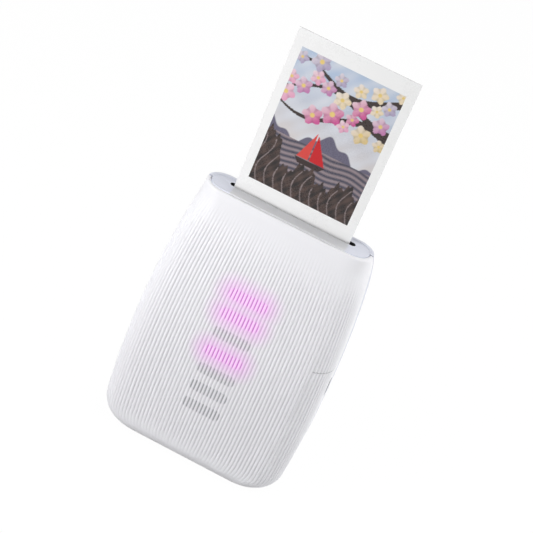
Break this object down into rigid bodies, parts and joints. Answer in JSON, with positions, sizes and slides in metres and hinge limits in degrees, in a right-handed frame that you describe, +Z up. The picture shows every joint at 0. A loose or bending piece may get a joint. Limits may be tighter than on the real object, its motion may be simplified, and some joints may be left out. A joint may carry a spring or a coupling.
{
  "type": "compact photo printer",
  "caption": "Pocket instant-film printer: barrel-shaped body with a ribbed front, top slot with a print, side port, rear film door, and a geared roller drive inside.",
  "frame": {"origin": "centre of the flat base", "axes": "+X to the right seen from the ribbed front, which faces -Y; +Z up, the way the sheet leaves"},
  "size_m": [0.09, 0.0374, 0.2005],
  "materials": {
    "white_cover": "satin, fine",
    "pale_blue_shell": "satin",
    "button": "satin",
    "smoked_window": "clear, smoked",
    "lamp": "clear",
    "foam": "matt felt",
    "steel": "ground",
    "sheet_steel": "plated sheet",
    "black_plastic": "moulded",
    "roller_rubber": "ground",
    "brass": "sintered",
    "gear_plastic": "natural",
    "motor_can": "plated",
    "lens": "clear",
    "print": "coated, with a picture",
    "film": "coated",
    "board": "green solder resist",
    "battery": "foil pouch",
    "diffuser": "milky",
    "ribbon": "film cable"
  },
  "bodies": {
    "printer": {"front_cover": "white_cover", "rear_shell": "pale_blue_shell", "top_cover": "pale_blue_shell", "base_plate": "pale_blue_shell", "side_panel": "white_cover", "door_hinge_pins": "steel", "chassis": "black_plastic", "roller_plate_left": "sheet_steel", "roller_plate_right": "sheet_steel", "roller_bushes": "brass", "idler_pins": "steel", "motor": "motor_can", "motor_clip": "black_plastic", "print_head": "black_plastic", "head_lens": "lens", "slot_seals": "foam", "film_pack": "black_plastic", "film_stack": "film", "pack_pressure_plate": "black_plastic", "main_board": "board", "battery": "battery", "light_board": "board", "light_guide": "diffuser", "port_board": "board", "charging_socket": "sheet_steel", "button_board": "board", "charge_lamp": "lamp", "ribbon_cable": "ribbon", "chassis_screws": "steel", "board_screws": "steel"},
    "film": {"film_sheet": "print"},
    "front_roller": {"front_roller": "roller_rubber", "front_roller_shaft": "steel", "front_roller_gear": "gear_plastic"},
    "rear_roller": {"rear_roller": "roller_rubber", "rear_roller_shaft": "steel", "rear_roller_gear": "gear_plastic"},
    "upper_idler": {"upper_idler_gear": "gear_plastic"},
    "lower_idler": {"lower_idler_gear": "gear_plastic"},
    "motor_shaft": {"motor_pinion": "brass"},
    "door": {"film_door": "pale_blue_shell", "door_window": "smoked_window", "door_seal": "foam", "pressure_springs": "steel", "latch_spring": "steel"},
    "latch": {"door_latch": "pale_blue_shell"},
    "power_button": {"power_button": "button"},
    "mode_button": {"mode_button": "button"},
    "claw": {"pick_claw": "sheet_steel"}
  },
  "joints": [
    {"name": "film_eject", "type": "slide", "parent": "printer", "child": "film", "axis": [0, 0, 1], "range_m": [-0.083, 0.003]},
    {"name": "front_roller_spin", "type": "hinge", "parent": "printer", "child": "front_roller", "pos_m": [0, -0.0019, 0.1175], "axis": [1, 0, 0], "range_deg": [-1381, 108]},
    {"name": "rear_roller_spin", "type": "hinge", "parent": "printer", "child": "rear_roller", "pos_m": [0, 0.0059, 0.1175], "axis": [1, 0, 0], "range_deg": [-108, 1381]},
    {"name": "upper_idler_spin", "type": "hinge", "parent": "printer", "child": "upper_idler", "pos_m": [0, -0.00533, 0.11076], "axis": [1, 0, 0], "range_deg": [-112, 1476]},
    {"name": "lower_idler_spin", "type": "hinge", "parent": "printer", "child": "lower_idler", "pos_m": [0, -0.0062, 0.10247], "axis": [1, 0, 0], "range_deg": [-1161, 100]},
    {"name": "motor_spin", "type": "hinge", "parent": "printer", "child": "motor_shaft", "pos_m": [0, -0.00688, 0.09468], "axis": [1, 0, 0], "range_deg": [-120, 1712]},
    {"name": "film_door_hinge", "type": "hinge", "parent": "printer", "child": "door", "pos_m": [-0.0376, 0.0166, 0.06], "axis": [0, 0, 1], "range_deg": [0, 95]},
    {"name": "door_latch_slide", "type": "slide", "parent": "door", "child": "latch", "axis": [0, 0, -1], "range_m": [0, 0.004], "stiffness_N_per_m": 150, "deforming": ["latch_spring"]},
    {"name": "power_button_press", "type": "slide", "parent": "printer", "child": "power_button", "axis": [1, 0, 0], "range_m": [0, 0.0007], "stiffness_N_per_m": 900},
    {"name": "mode_button_press", "type": "slide", "parent": "printer", "child": "mode_button", "axis": [1, 0, 0], "range_m": [0, 0.0007], "stiffness_N_per_m": 900},
    {"name": "claw_stroke", "type": "slide", "parent": "printer", "child": "claw", "axis": [0, 0, 1], "range_m": [0, 0.0154], "stiffness_N_per_m": 60}
  ],
  "couplings": [
    {"joint": "front_roller_spin", "follows": "film_eject", "rad_per_m": 277.78},
    {"joint": "rear_roller_spin", "follows": "film_eject", "rad_per_m": -277.78},
    {"joint": "upper_idler_spin", "follows": "film_eject", "rad_per_m": -297.62},
    {"joint": "lower_idler_spin", "follows": "film_eject", "rad_per_m": 231.48},
    {"joint": "motor_spin", "follows": "film_eject", "rad_per_m": -347.22}
  ]
}
